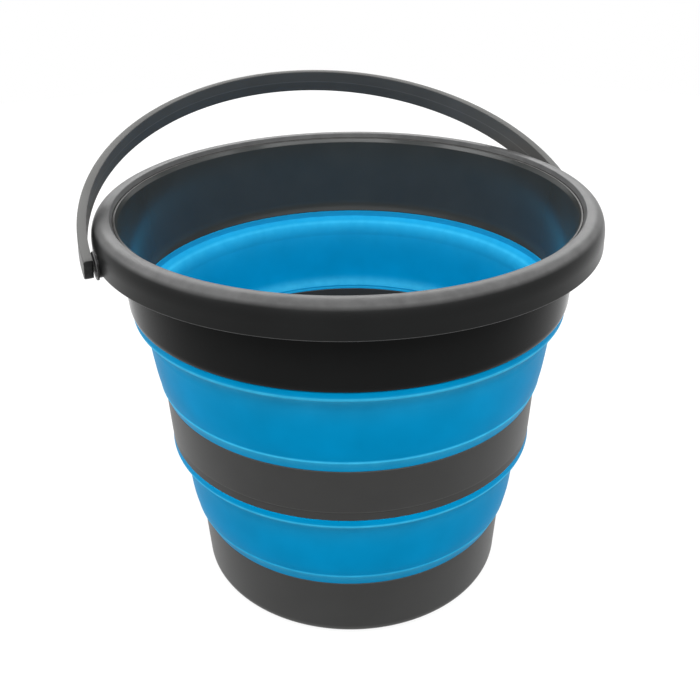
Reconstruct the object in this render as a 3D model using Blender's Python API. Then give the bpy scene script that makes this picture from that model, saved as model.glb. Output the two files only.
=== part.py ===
"""Collapsible camp bucket: rigid rings joined by folding rubber bands, with a strap handle.

Metres, +Z up. The origin is the centre of the base's underside, on the surface it stands on.
X runs along the handle's pivots, and the handle leans back towards +Y. The bucket stands
open, as it is used.
"""
import math

import bmesh
import bpy
from mathutils import Matrix, Vector

# Fits that every piece shares
SEAT_GAP = 0.0003
MERGE_DISTANCE = 0.00001
CUT_OVERRUN = 0.002

# How finely round forms are divided, and the angle from which an edge shows
RING_SEGMENTS = 48
PIVOT_SEGMENTS = 24
CORNER_STEPS = 3
FLARE_STEPS = 3
SHOULDER_STEPS = 5
CREST_STEPS = 6
ARCH_STEPS = 34
TIP_STEPS = 3
SHARP_ANGLE = math.radians(32.0)

# Colours of the mouldings and how dull each one is
DARK_GREY = (0.055, 0.055, 0.053)
NEAR_BLACK = (0.026, 0.027, 0.027)
BRIGHT_BLUE = (0.0, 0.270, 0.560)
PLASTIC_ROUGHNESS_SHARE = 0.42
RUBBER_ROUGHNESS_SHARE = 0.46
MOUTH_ROUGHNESS_SHARE = 0.24
RIM_ROUGHNESS_SHARE = 0.34

# Rim's edge, which every ring's radius is stepped in from, so that they nest when folded
RIM_RADIUS = 0.1600
RIM_OVERHANG = 0.0139
UPPER_RING_TAPER = 0.0030
UPPER_RING_ROLL = 0.0018
UPPER_FOLD_STEP = 0.0142
MID_RING_TAPER = 0.0014
LOWER_FOLD_STEP = 0.0154
BASE_TAPER = 0.0023
UPPER_RING_TOP_RADIUS = RIM_RADIUS - RIM_OVERHANG
UPPER_RING_FOOT_RADIUS = UPPER_RING_TOP_RADIUS - UPPER_RING_TAPER
UPPER_RING_EDGE_RADIUS = UPPER_RING_FOOT_RADIUS - UPPER_RING_ROLL
MID_RING_TOP_RADIUS = UPPER_RING_EDGE_RADIUS - UPPER_FOLD_STEP
MID_RING_BOTTOM_RADIUS = MID_RING_TOP_RADIUS - MID_RING_TAPER
BASE_TOP_RADIUS = MID_RING_BOTTOM_RADIUS - LOWER_FOLD_STEP
BASE_BOTTOM_RADIUS = BASE_TOP_RADIUS - BASE_TAPER

# Base: a tub with a foot ring round a shallow recess
BASE_HEIGHT = 0.0451
BASE_WALL = 0.0024
BASE_CORNER_RADIUS = 0.0042
BASE_FLOOR = 0.0026
FOOT_RING_WIDTH = 0.0120
FOOT_RECESS = 0.0016
FOOT_BEVEL = 0.0012

# Lower folding band
LOWER_BAND_HEIGHT = 0.0648
LOWER_CREASE_RISE = 0.0099
LOWER_CREASE_STEP = 0.0036
LOWER_THROAT_DROP = 0.0179
LOWER_THROAT_INSET = 0.0072
LOWER_FLARE_PULL = 0.0100
LOWER_WALL_PULL = 0.0120

# Middle ring
MID_RING_HEIGHT = 0.0368
MID_RING_WALL = 0.0024
MID_STEP_RISE = 0.0056
MID_STEP_DEPTH = 0.0004

# Upper folding band
UPPER_BAND_HEIGHT = 0.0626
UPPER_CREASE_RISE = 0.0081
UPPER_CREASE_STEP = 0.0023
UPPER_THROAT_DROP = 0.0183
UPPER_THROAT_INSET = 0.0070
UPPER_FLARE_PULL = 0.0095
UPPER_WALL_PULL = 0.0105

# What both bands share
BAND_WALL = 0.0024
SHOULDER_LOWER_PULL = 0.0135
SHOULDER_UPPER_PULL = 0.0045
SHOULDER_PROUD = 0.0002
SHOULDER_DROP = 0.0031

# Tongues on the rigid rings, which the bands are moulded round
TONGUE_DEPTH = 0.0030
TONGUE_WALL = 0.0008

# Upper ring: the wall of the mouth, its lip and the flange that carries the rim
UPPER_RING_HEIGHT = 0.0567
UPPER_RING_FOOT_RISE = 0.0052
UPPER_RING_WALL = 0.0024
LIP_WIDTH = 0.0025
LIP_HEIGHT = 0.0028
FLANGE_DROP = 0.0009
FLANGE_THICKNESS = 0.0020
FLANGE_REACH = 0.0058

# Rim: a rolled cap with a skirt, clipped over the flange
RIM_CREST_RISE = 0.0035
RIM_CREST_WIDTH = 0.0035
RIM_INNER_EDGE_DROP = 0.0020
CREST_START_WIDTH_SHARE = 0.33
CREST_START_DROP_SHARE = 0.25
RIM_ROLL_HEIGHT = 0.0134
RIM_ROLL_SHARE = 0.87
SKIRT_TAPER = 0.0002
SKIRT_DEPTH = 0.0066
SKIRT_WALL = 0.0024
GROOVE_WIDTH = 0.0006
CLIP_WALL = 0.0015
CLIP_DEPTH = 0.0046
CLIP_CATCH = 0.0010
CLIP_CATCH_HEIGHT = 0.0006

# Lugs behind the skirt and the flanged bushes in them
PIVOT_DROP = 0.0175
LUG_RADIUS = 0.0072
LUG_LENGTH = 0.0081
LUG_PAD = 0.0002
BUSH_FLANGE_RADIUS = 0.0085
BUSH_FLANGE_WALL = 0.0013
BUSH_FLANGE_BEVEL = 0.0004
BUSH_WALL = 0.0015

# Handle: a tapered strap on a half ellipse, with a snap peg inside each end
HANDLE_LEAN = math.radians(62.8)
HANDLE_RISE = 0.1421
HANDLE_WIDTH = 0.0167
HANDLE_SIDE_GAP = 0.00085
HANDLE_END_THICKNESS = 0.00565
HANDLE_TOP_THICKNESS = 0.0030
HANDLE_TAPER_POWER_SHARE = 2.2
HANDLE_TAIL = 0.0070
HANDLE_TAIL_CORNER = 0.0040
HANDLE_EDGE_BEVEL = 0.0008
HANDLE_CROWN = 0.0003
PEG_RADIUS = 0.0030
PEG_CLEARANCE = 0.0001
BARB_CATCH = 0.0008
BARB_LENGTH = 0.0028
BARB_TIP_TAPER = 0.0006

# Heights and radii where one piece meets the next
LOWER_BAND_BOTTOM = BASE_HEIGHT
MID_RING_BOTTOM = LOWER_BAND_BOTTOM + LOWER_BAND_HEIGHT
UPPER_BAND_BOTTOM = MID_RING_BOTTOM + MID_RING_HEIGHT
UPPER_RING_BOTTOM = UPPER_BAND_BOTTOM + UPPER_BAND_HEIGHT
LIP_TOP = UPPER_RING_BOTTOM + UPPER_RING_HEIGHT
RIM_TOP = LIP_TOP + RIM_CREST_RISE
PIVOT_HEIGHT = RIM_TOP - PIVOT_DROP
LUG_OUTER = RIM_RADIUS + LUG_PAD
LUG_INNER = LUG_OUTER - LUG_LENGTH
BUSH_BACK = LUG_OUTER + SEAT_GAP
BUSH_FACE = BUSH_BACK + BUSH_FLANGE_WALL
BUSH_BORE_RADIUS = PEG_RADIUS + PEG_CLEARANCE
BUSH_RADIUS = BUSH_BORE_RADIUS + BUSH_WALL
STRAP_INNER_END = BUSH_FACE + HANDLE_SIDE_GAP
STRAP_OUTER_END = STRAP_INNER_END + HANDLE_END_THICKNESS


def clear_scene():
    """Remove every object that the file opened with."""
    for thing in list(bpy.data.objects):
        bpy.data.objects.remove(thing, do_unlink=True)


def plastic(name, colour, roughness):
    """A plain non-metal material in the piece's own colour."""
    made = bpy.data.materials.new(name)
    made.use_nodes = True
    shader = made.node_tree.nodes["Principled BSDF"]
    shader.inputs["Base Color"].default_value = (*colour, 1.0)
    shader.inputs["Roughness"].default_value = roughness
    shader.inputs["Metallic"].default_value = 0.0
    return made


def bezier(start, start_pull, end_pull, end, steps):
    """Points of a cubic curve after its start, up to and with its end."""
    points = []
    for step in range(1, steps + 1):
        t = step / steps
        s = 1.0 - t
        weights = (s * s * s, 3.0 * s * s * t, 3.0 * s * t * t, t * t * t)
        corners = (start, start_pull, end_pull, end)
        points.append(tuple(sum(w * c[axis] for w, c in zip(weights, corners)) for axis in (0, 1)))
    return points


def inside_line(points, wall):
    """The line that lies one wall nearer the axis than an outer line drawn upwards.

    Each point moves along the mean normal of its two neighbouring runs, stretched so that the
    wall keeps its thickness at a bend. The two end points move level, along their edges.
    """
    moved = [(points[0][0] - wall, points[0][1])]
    for before, here, after in zip(points, points[1:], points[2:]):
        runs = [Vector(here) - Vector(before), Vector(after) - Vector(here)]
        normals = [Vector((-run.y, run.x)).normalized() for run in runs]
        mean = (normals[0] + normals[1]).normalized()
        moved.append(tuple(Vector(here) + mean * wall / mean.dot(normals[0])))
    moved.append((points[-1][0] - wall, points[-1][1]))
    return moved


def bake(thing):
    """Put an object's evaluated shape in its mesh, so that no modifier is left on it."""
    bpy.context.view_layer.update()
    evaluated = thing.evaluated_get(bpy.context.evaluated_depsgraph_get())
    shaped = bpy.data.meshes.new_from_object(evaluated)
    thing.modifiers.clear()
    thing.data = shaped


def smooth(thing):
    """Shade round, with an edge kept wherever two faces turn by more than the angle."""
    thing.data.shade_smooth()
    thing.data.set_sharp_from_angle(angle=SHARP_ANGLE)


def turned(name, profile, segments, ring=True):
    """Turn a profile of (radius, height) points once round Z.

    The profile runs down the outer side. A ring's profile closes on itself. One that isn't a
    ring has both its ends on the axis.
    """
    mesh = bpy.data.meshes.new(name)
    thing = bpy.data.objects.new(name, mesh)
    bpy.context.scene.collection.objects.link(thing)
    corners = [(radius, 0.0, height) for radius, height in profile]
    runs = [(i, i + 1) for i in range(len(profile) - 1)]
    if ring:
        runs.append((len(profile) - 1, 0))
    mesh.from_pydata(corners, runs, [])
    turn = thing.modifiers.new("turn", "SCREW")
    turn.angle = math.tau
    turn.steps = segments
    turn.render_steps = segments
    turn.use_merge_vertices = True
    turn.merge_threshold = MERGE_DISTANCE
    bake(thing)
    return thing


def tool(thing):
    """Mark a shape as one that only cuts or joins, and isn't a piece itself."""
    thing.hide_render = True
    thing.display_type = "WIRE"
    return thing


def combine(thing, operation, others):
    """Join or cut a piece by tools, one after another, and keep the result in its mesh."""
    for other in others:
        step = thing.modifiers.new(operation.lower(), "BOOLEAN")
        step.operation = operation
        step.solver = "EXACT"
        step.object = other
    join_points = thing.modifiers.new("join_points", "WELD")
    join_points.merge_threshold = MERGE_DISTANCE
    bake(thing)


def along_x(thing, side):
    """Turn an object made round Z so that its +Z points out along +X or -X, at the pivots.

    Half a facet of twist keeps its edges off the rim's own corner line at the pivot.
    """
    twist = Matrix.Rotation(math.pi / PIVOT_SEGMENTS, 4, "Z")
    swing = Matrix.Rotation(side * math.pi / 2.0, 4, "Y")
    thing.location = (0.0, 0.0, PIVOT_HEIGHT)
    thing.rotation_euler = (swing @ twist).to_euler()
    return thing


def tongue(outer_radius, edge_height, wall, direction):
    """The stepped edge of a rigid ring, from its outer face to its inner one.

    The tongue lies in the middle of the band's wall, and points up (1) or down (-1).
    """
    skin = (BAND_WALL - TONGUE_WALL) / 2.0
    tip = edge_height + direction * TONGUE_DEPTH
    outer = outer_radius - skin
    inner = outer - TONGUE_WALL
    return [
        (outer_radius, edge_height),
        (outer, edge_height),
        (outer, tip),
        (inner, tip),
        (inner, edge_height),
        (outer_radius - wall, edge_height),
    ]


def groove(outer_radius, edge_height, direction):
    """A band's end, from its outer face to its inner one, with the slot for the ring's tongue.

    The slot goes into the band upwards (1) or downwards (-1), one seating gap wider and deeper
    than the tongue, and the end stops a seating gap short of the ring.
    """
    skin = (BAND_WALL - TONGUE_WALL) / 2.0 - SEAT_GAP
    edge = edge_height + direction * SEAT_GAP
    bottom = edge + direction * TONGUE_DEPTH
    outer = outer_radius - skin
    inner = outer_radius - BAND_WALL + skin
    return [
        (outer_radius, edge),
        (outer, edge),
        (outer, bottom),
        (inner, bottom),
        (inner, edge),
        (outer_radius - BAND_WALL, edge),
    ]


def band_outline(low, high, crease, throat, flare_pull, wall_pull):
    """A folding band's outer line, from the ring below it to the ring above it.

    A short cone leads from the lower ring to a crease. From there the wall flares and then
    stands nearly straight up to the throat, where it turns out into a round shoulder under
    the upper ring. Pressed down, the band rolls over between the throat and the crease.
    """
    low_radius, low_height = low
    high_radius, high_height = high
    crease_rise, crease_step = crease
    throat_drop, throat_inset = throat
    fold = (low_radius + crease_step, low_height + crease_rise)
    neck = (high_radius - throat_inset, high_height - throat_drop)
    bulge = (high_radius + SHOULDER_PROUD, high_height - SHOULDER_DROP)
    cone = (Vector(fold) - Vector(low)).normalized()
    rise = (Vector(neck) - Vector(fold)).normalized()
    points = [low, fold]
    points += bezier(
        fold,
        tuple(Vector(fold) + cone * flare_pull),
        tuple(Vector(neck) - rise * wall_pull),
        neck,
        FLARE_STEPS,
    )
    points += bezier(
        neck,
        (neck[0], neck[1] + SHOULDER_LOWER_PULL),
        (bulge[0], bulge[1] - SHOULDER_UPPER_PULL),
        bulge,
        SHOULDER_STEPS,
    )
    points.append(high)
    return points


def folding_band(name, outline):
    """A band with its wall, and with a slot at each end for a ring's tongue."""
    inner = inside_line(outline, BAND_WALL)
    low_radius, low_height = outline[0]
    high_radius, high_height = outline[-1]
    profile = list(reversed(outline[1:-1]))
    profile += groove(low_radius, low_height, 1)
    profile += inner[1:-1]
    profile += reversed(groove(high_radius, high_height, -1))
    return turned(name, profile, RING_SEGMENTS)


def base_cup():
    """The tub at the bottom: floor, tapered wall, rounded lower corner and foot ring."""
    taper = BASE_TAPER / BASE_HEIGHT
    floor_top = FOOT_RECESS + BASE_FLOOR
    corner_centre = BASE_BOTTOM_RADIUS - BASE_CORNER_RADIUS
    inner_corner = BASE_CORNER_RADIUS - BASE_WALL
    inner_wall_radius = BASE_BOTTOM_RADIUS - BASE_WALL
    foot_inner = corner_centre - FOOT_RING_WIDTH
    profile = [(0.0, floor_top)]
    for step in range(CORNER_STEPS + 1):
        turn = math.pi / 2.0 * step / CORNER_STEPS
        profile.append((
            inner_wall_radius - inner_corner + inner_corner * math.sin(turn),
            floor_top + inner_corner * (1.0 - math.cos(turn)),
        ))
    profile += reversed(tongue(BASE_TOP_RADIUS, BASE_HEIGHT, BASE_WALL, 1))
    for step in range(CORNER_STEPS + 1):
        turn = math.pi / 2.0 * step / CORNER_STEPS
        profile.append((
            corner_centre + BASE_CORNER_RADIUS * math.cos(turn) + taper * BASE_CORNER_RADIUS,
            BASE_CORNER_RADIUS * (1.0 - math.sin(turn)),
        ))
    profile += [
        (foot_inner, 0.0),
        (foot_inner - FOOT_BEVEL, FOOT_RECESS),
        (0.0, FOOT_RECESS),
    ]
    return turned("base_cup", profile, RING_SEGMENTS, ring=False)


def mid_ring():
    """The ring between the bands: a slight cone with a fine step near its lower edge."""
    slope = MID_RING_TAPER / MID_RING_HEIGHT
    step_height = MID_RING_BOTTOM + MID_STEP_RISE
    step_radius = MID_RING_BOTTOM_RADIUS + slope * MID_STEP_RISE
    profile = [
        (step_radius, step_height + MID_STEP_DEPTH),
        (step_radius - MID_STEP_DEPTH, step_height),
    ]
    profile += tongue(MID_RING_BOTTOM_RADIUS, MID_RING_BOTTOM, MID_RING_WALL, -1)
    profile += reversed(tongue(MID_RING_TOP_RADIUS, UPPER_BAND_BOTTOM, MID_RING_WALL, 1))
    return turned("mid_ring", profile, RING_SEGMENTS)


def flange_sizes():
    """Radii and heights of the flange under the rim, which the rim's clip is made to fit."""
    lip_radius = UPPER_RING_TOP_RADIUS - UPPER_RING_WALL + LIP_WIDTH
    return {
        "lip_radius": lip_radius,
        "top": LIP_TOP - FLANGE_DROP,
        "bottom": LIP_TOP - FLANGE_DROP - FLANGE_THICKNESS,
        "radius": lip_radius + FLANGE_REACH,
    }


def upper_ring():
    """The mouth's wall: a rolled-in lower edge, a taper, a bevelled lip and the rim's flange."""
    flange = flange_sizes()
    foot_height = UPPER_RING_BOTTOM + UPPER_RING_FOOT_RISE
    inner_top = (flange["lip_radius"] - LIP_WIDTH, LIP_TOP - LIP_HEIGHT)
    profile = [
        (flange["lip_radius"], LIP_TOP),
        (flange["lip_radius"], flange["top"]),
        (flange["radius"], flange["top"]),
        (flange["radius"], flange["bottom"]),
        (UPPER_RING_TOP_RADIUS, flange["bottom"]),
    ]
    for step in range(CORNER_STEPS):
        turn = math.pi / 2.0 * step / CORNER_STEPS
        profile.append((
            UPPER_RING_EDGE_RADIUS + UPPER_RING_ROLL * math.cos(turn),
            foot_height - UPPER_RING_FOOT_RISE * math.sin(turn),
        ))
    profile += tongue(UPPER_RING_EDGE_RADIUS, UPPER_RING_BOTTOM, UPPER_RING_WALL, -1)
    profile += [
        (UPPER_RING_FOOT_RADIUS - UPPER_RING_WALL, foot_height),
        inner_top,
    ]
    return turned("upper_ring", profile, RING_SEGMENTS)


def rim_roll(wall):
    """The rim's rounded shoulder from crest to skirt, as a quarter of a full-bodied ellipse.

    The share is the power that its sine and cosine are raised to: 1 gives a true ellipse, and
    less gives a fuller one. With a wall, the line is that much inside the outer one.
    """
    crest_radius = flange_sizes()["lip_radius"] + GROOVE_WIDTH + RIM_CREST_WIDTH
    skirt_top = RIM_TOP - RIM_ROLL_HEIGHT
    across = RIM_RADIUS - SKIRT_TAPER - crest_radius - wall
    along = RIM_ROLL_HEIGHT - wall
    points = []
    for step in range(CREST_STEPS + 1):
        turn = math.pi / 2.0 * step / CREST_STEPS
        points.append((
            crest_radius + across * math.sin(turn) ** RIM_ROLL_SHARE,
            skirt_top + along * math.cos(turn) ** RIM_ROLL_SHARE,
        ))
    return points


def rim_cap():
    """The rolled rim with its skirt, the clip that holds it on the flange, and two lugs."""
    flange = flange_sizes()
    edge_radius = flange["lip_radius"] + GROOVE_WIDTH
    seat = flange["top"] + SEAT_GAP
    clip_inner = flange["radius"] + SEAT_GAP
    clip_outer = clip_inner + CLIP_WALL
    catch_top = flange["bottom"] - SEAT_GAP
    clip_bottom = seat - CLIP_DEPTH
    skirt_bottom = RIM_TOP - RIM_ROLL_HEIGHT - SKIRT_DEPTH
    inner_roll = [point for point in rim_roll(SKIRT_WALL) if point[0] > clip_outer]
    crest_start = (
        edge_radius + RIM_CREST_WIDTH * CREST_START_WIDTH_SHARE,
        RIM_TOP - RIM_INNER_EDGE_DROP * CREST_START_DROP_SHARE,
    )
    profile = [(edge_radius, seat), (edge_radius, RIM_TOP - RIM_INNER_EDGE_DROP), crest_start]
    profile += rim_roll(0.0)
    profile += [
        (RIM_RADIUS, skirt_bottom),
        (RIM_RADIUS - SKIRT_WALL, skirt_bottom),
    ]
    profile += reversed(inner_roll)
    profile += [
        (clip_outer, inner_roll[0][1]),
        (clip_outer, clip_bottom),
        (clip_inner, clip_bottom),
        (clip_inner - CLIP_CATCH, catch_top - CLIP_CATCH_HEIGHT),
        (clip_inner - CLIP_CATCH, catch_top),
        (clip_inner, catch_top),
        (clip_inner, seat),
    ]
    cap = turned("rim_cap", profile, RING_SEGMENTS)
    combine(cap, "DIFFERENCE", [lug_hole(side) for side in (-1, 1)])
    combine(cap, "UNION", [lug(side) for side in (-1, 1)])
    return cap


def lug(side):
    """A short bored tube along X behind the skirt, whose outer end is a flat pad on it."""
    bore = BUSH_RADIUS + SEAT_GAP
    profile = [(LUG_RADIUS, LUG_OUTER), (LUG_RADIUS, LUG_INNER), (bore, LUG_INNER), (bore, LUG_OUTER)]
    return tool(along_x(turned("lug", profile, PIVOT_SEGMENTS), side))


def lug_hole(side):
    """The hole in the skirt that ends halfway through the lug's wall, where the two join."""
    radius = (BUSH_RADIUS + SEAT_GAP + LUG_RADIUS) / 2.0
    far = LUG_OUTER + CUT_OVERRUN
    near = LUG_INNER - CUT_OVERRUN
    profile = [(0.0, far), (radius, far), (radius, near), (0.0, near)]
    return tool(along_x(turned("lug_hole", profile, PIVOT_SEGMENTS, ring=False), side))


def pivot_bush(name, side):
    """A flanged bush: the flange lies on the skirt, and the sleeve lines the lug's bore."""
    profile = [
        (BUSH_FLANGE_RADIUS - BUSH_FLANGE_BEVEL, BUSH_FACE),
        (BUSH_FLANGE_RADIUS, BUSH_FACE - BUSH_FLANGE_BEVEL),
        (BUSH_FLANGE_RADIUS, BUSH_BACK),
        (BUSH_RADIUS, BUSH_BACK),
        (BUSH_RADIUS, LUG_INNER),
        (BUSH_BORE_RADIUS, LUG_INNER),
        (BUSH_BORE_RADIUS, BUSH_FACE),
    ]
    return along_x(turned(name, profile, PIVOT_SEGMENTS), side)


def strap_station(outer_point, inner_point, half_width, crown):
    """One cross-section of the strap: bevelled corners, and a faint crown on its inner face."""
    outer = Vector((outer_point[0], 0.0, outer_point[1]))
    inner = Vector((inner_point[0], 0.0, inner_point[1]))
    inward = (inner - outer).normalized()
    across = Vector((0.0, 1.0, 0.0))
    bevel = inward * HANDLE_EDGE_BEVEL
    flat = half_width - HANDLE_EDGE_BEVEL
    return [
        outer - across * flat,
        outer + across * flat,
        outer + across * half_width + bevel,
        inner + across * half_width - bevel,
        inner + across * flat,
        inner + inward * crown,
        inner - across * flat,
        inner - across * half_width - bevel,
        outer - across * half_width + bevel,
    ]


def strap_stations():
    """Cross-sections from the left end's tip, over the arch, to the right end's tip."""
    stations = []
    for step in range(TIP_STEPS + 1):
        turn = math.pi / 2.0 * step / TIP_STEPS
        down = -HANDLE_TAIL + HANDLE_TAIL_CORNER * (1.0 - math.cos(turn))
        narrowing = HANDLE_TAIL_CORNER * (1.0 - math.sin(turn))
        stations.append(strap_station(
            (-STRAP_OUTER_END, down),
            (-STRAP_INNER_END, down),
            HANDLE_WIDTH / 2.0 - narrowing,
            0.0,
        ))
    for step in range(ARCH_STEPS + 1):
        angle = math.pi * (1.0 - step / ARCH_STEPS)
        side = math.cos(angle)
        up = math.sin(angle)
        reach = 1.0 / math.hypot(side / STRAP_OUTER_END, up / HANDLE_RISE)
        swell = abs(side) ** HANDLE_TAPER_POWER_SHARE
        thickness = HANDLE_TOP_THICKNESS + (HANDLE_END_THICKNESS - HANDLE_TOP_THICKNESS) * swell
        stations.append(strap_station(
            (reach * side, reach * up),
            ((reach - thickness) * side, (reach - thickness) * up),
            HANDLE_WIDTH / 2.0,
            HANDLE_CROWN * (1.0 - swell),
        ))
    for left in reversed(stations[:TIP_STEPS + 1]):
        mirrored = [Vector((-corner.x, corner.y, corner.z)) for corner in left]
        stations.append(mirrored)
    return stations


def bail_handle():
    """The strap, lofted through its stations, with a snap peg inside each end.

    It is drawn upright round its pivots, and the finished piece leans back about them.
    """
    shape = bmesh.new()
    rings = [[shape.verts.new(corner) for corner in station] for station in strap_stations()]
    for here, there in zip(rings, rings[1:]):
        for i, corner in enumerate(here):
            after = (i + 1) % len(here)
            shape.faces.new((corner, here[after], there[after], there[i]))
    shape.faces.new(list(reversed(rings[0])))
    shape.faces.new(rings[-1])
    bmesh.ops.recalc_face_normals(shape, faces=shape.faces)
    mesh = bpy.data.meshes.new("bail_handle")
    shape.to_mesh(mesh)
    shape.free()
    handle = bpy.data.objects.new("bail_handle", mesh)
    bpy.context.scene.collection.objects.link(handle)
    handle.location = (0.0, 0.0, PIVOT_HEIGHT)
    combine(handle, "UNION", [peg(side) for side in (-1, 1)])
    handle.rotation_euler = (-HANDLE_LEAN, 0.0, 0.0)
    return handle


def peg(side):
    """The peg that turns in a bush, with a barb that holds it from behind."""
    root = STRAP_INNER_END + HANDLE_END_THICKNESS / 2.0
    shoulder = LUG_INNER - SEAT_GAP
    tip = shoulder - BARB_LENGTH
    profile = [
        (0.0, root),
        (PEG_RADIUS, root),
        (PEG_RADIUS, shoulder),
        (PEG_RADIUS + BARB_CATCH, shoulder),
        (PEG_RADIUS - BARB_TIP_TAPER, tip),
        (0.0, tip),
    ]
    made = turned("peg", profile, PIVOT_SEGMENTS, ring=False)
    return tool(along_x(made, side))


def build():
    """Make every piece in its place, and give each its own material."""
    clear_scene()
    lower = band_outline(
        (BASE_TOP_RADIUS, LOWER_BAND_BOTTOM),
        (MID_RING_BOTTOM_RADIUS, MID_RING_BOTTOM),
        (LOWER_CREASE_RISE, LOWER_CREASE_STEP),
        (LOWER_THROAT_DROP, LOWER_THROAT_INSET),
        LOWER_FLARE_PULL,
        LOWER_WALL_PULL,
    )
    upper = band_outline(
        (MID_RING_TOP_RADIUS, UPPER_BAND_BOTTOM),
        (UPPER_RING_EDGE_RADIUS, UPPER_RING_BOTTOM),
        (UPPER_CREASE_RISE, UPPER_CREASE_STEP),
        (UPPER_THROAT_DROP, UPPER_THROAT_INSET),
        UPPER_FLARE_PULL,
        UPPER_WALL_PULL,
    )
    pieces = [
        (base_cup(), DARK_GREY, PLASTIC_ROUGHNESS_SHARE),
        (folding_band("lower_band", lower), BRIGHT_BLUE, RUBBER_ROUGHNESS_SHARE),
        (mid_ring(), DARK_GREY, PLASTIC_ROUGHNESS_SHARE),
        (folding_band("upper_band", upper), BRIGHT_BLUE, RUBBER_ROUGHNESS_SHARE),
        (upper_ring(), NEAR_BLACK, MOUTH_ROUGHNESS_SHARE),
        (rim_cap(), NEAR_BLACK, RIM_ROUGHNESS_SHARE),
        (pivot_bush("pivot_bush_left", -1), NEAR_BLACK, RIM_ROUGHNESS_SHARE),
        (pivot_bush("pivot_bush_right", 1), NEAR_BLACK, RIM_ROUGHNESS_SHARE),
        (bail_handle(), DARK_GREY, PLASTIC_ROUGHNESS_SHARE),
    ]
    for piece, colour, roughness in pieces:
        piece.data.materials.clear()
        piece.data.materials.append(plastic(piece.name + "_plastic", colour, roughness))
        smooth(piece)


build()
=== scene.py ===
# %% [markdown]
# # Dressing a collapsible bucket
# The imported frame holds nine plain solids: three rigid rings, two folding rubber bands, a rolled
# rim with two bushes, and a strap handle. They have the right sizes and joints, but their round
# forms are cut from 48 flats. This lesson keeps every size and turns each piece again finely,
# with its small roundings, and then gives each moulding its own finish.

# %% Load the frame
import math

import bmesh
import bpy
import numpy as np
from mathutils import Matrix, Vector


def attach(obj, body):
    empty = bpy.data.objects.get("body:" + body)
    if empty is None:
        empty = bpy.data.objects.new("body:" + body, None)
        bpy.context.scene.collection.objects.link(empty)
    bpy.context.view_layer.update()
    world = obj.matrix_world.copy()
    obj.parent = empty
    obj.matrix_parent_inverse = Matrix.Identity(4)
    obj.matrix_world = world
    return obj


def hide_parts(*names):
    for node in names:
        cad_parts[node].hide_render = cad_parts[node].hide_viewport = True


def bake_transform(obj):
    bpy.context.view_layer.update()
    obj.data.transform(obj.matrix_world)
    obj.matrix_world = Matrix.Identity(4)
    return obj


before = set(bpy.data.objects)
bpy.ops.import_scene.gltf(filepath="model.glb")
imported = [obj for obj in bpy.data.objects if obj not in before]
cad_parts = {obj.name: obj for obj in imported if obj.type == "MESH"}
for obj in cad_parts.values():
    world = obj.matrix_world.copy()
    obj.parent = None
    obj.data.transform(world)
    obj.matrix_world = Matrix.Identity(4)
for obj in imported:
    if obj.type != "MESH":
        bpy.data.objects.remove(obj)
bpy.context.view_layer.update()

# %% [markdown]
# ## The camera first
# The bucket is seen from about 29 degrees above, and turned so that the handle's left end comes
# nearer. A camera close to the object makes the rim look wider than the base, so its distance
# matters as much as its angle. The lens is given in millimetres for Blender's 36 mm sensor.

# %% Place the camera
CAMERA_DISTANCE = 0.62
CAMERA_HEIGHT_ANGLE = math.radians(28.74)
CAMERA_TURN = math.radians(24.8)
CAMERA_TILT = math.radians(0.72)
CAMERA_LENS = 45.87
CAMERA_NEAR = 0.01
CAMERA_TARGET = Vector((0.00025, -0.00011, 0.15745))


def place_camera():
    """A camera on a sphere round the bucket's middle, tipped a little about its own axis."""
    towards = Vector((
        -math.sin(CAMERA_TURN) * math.cos(CAMERA_HEIGHT_ANGLE),
        -math.cos(CAMERA_TURN) * math.cos(CAMERA_HEIGHT_ANGLE),
        math.sin(CAMERA_HEIGHT_ANGLE),
    ))
    camera = bpy.data.objects.new("camera", bpy.data.cameras.new("camera"))
    bpy.context.scene.collection.objects.link(camera)
    camera.data.lens = CAMERA_LENS
    camera.data.clip_start = CAMERA_NEAR
    aim = towards.to_track_quat("Z", "Y").to_matrix().to_4x4()
    tip = Matrix.Rotation(-CAMERA_TILT, 4, "Z")
    camera.matrix_world = Matrix.Translation(CAMERA_TARGET + towards * CAMERA_DISTANCE) @ aim @ tip
    bpy.context.scene.camera = camera
    return camera


camera = place_camera()
print("camera at", [round(value, 4) for value in camera.matrix_world.translation])

# %% [markdown]
# ## Outlines with rounded corners
# Every ring is one flat outline carried round the axis, so the skill is all in the outline. A
# moulded corner is never sharp: the steel of the mould has a small radius, and that radius is
# what catches the light. The helper below takes corners as rows of radius, height and rounding
# in millimetres, and returns the outline with an arc in each corner. Complex numbers do this
# well, because multiplying by one turns a point in the plane.

# %% Round an outline's corners
MM = 0.001
SUPPORT_SHARE = 0.4
LEAST_WORN_AND_HIGHLIT_TURN = 0.3
SAME_PLACE = 1e-7


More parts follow.
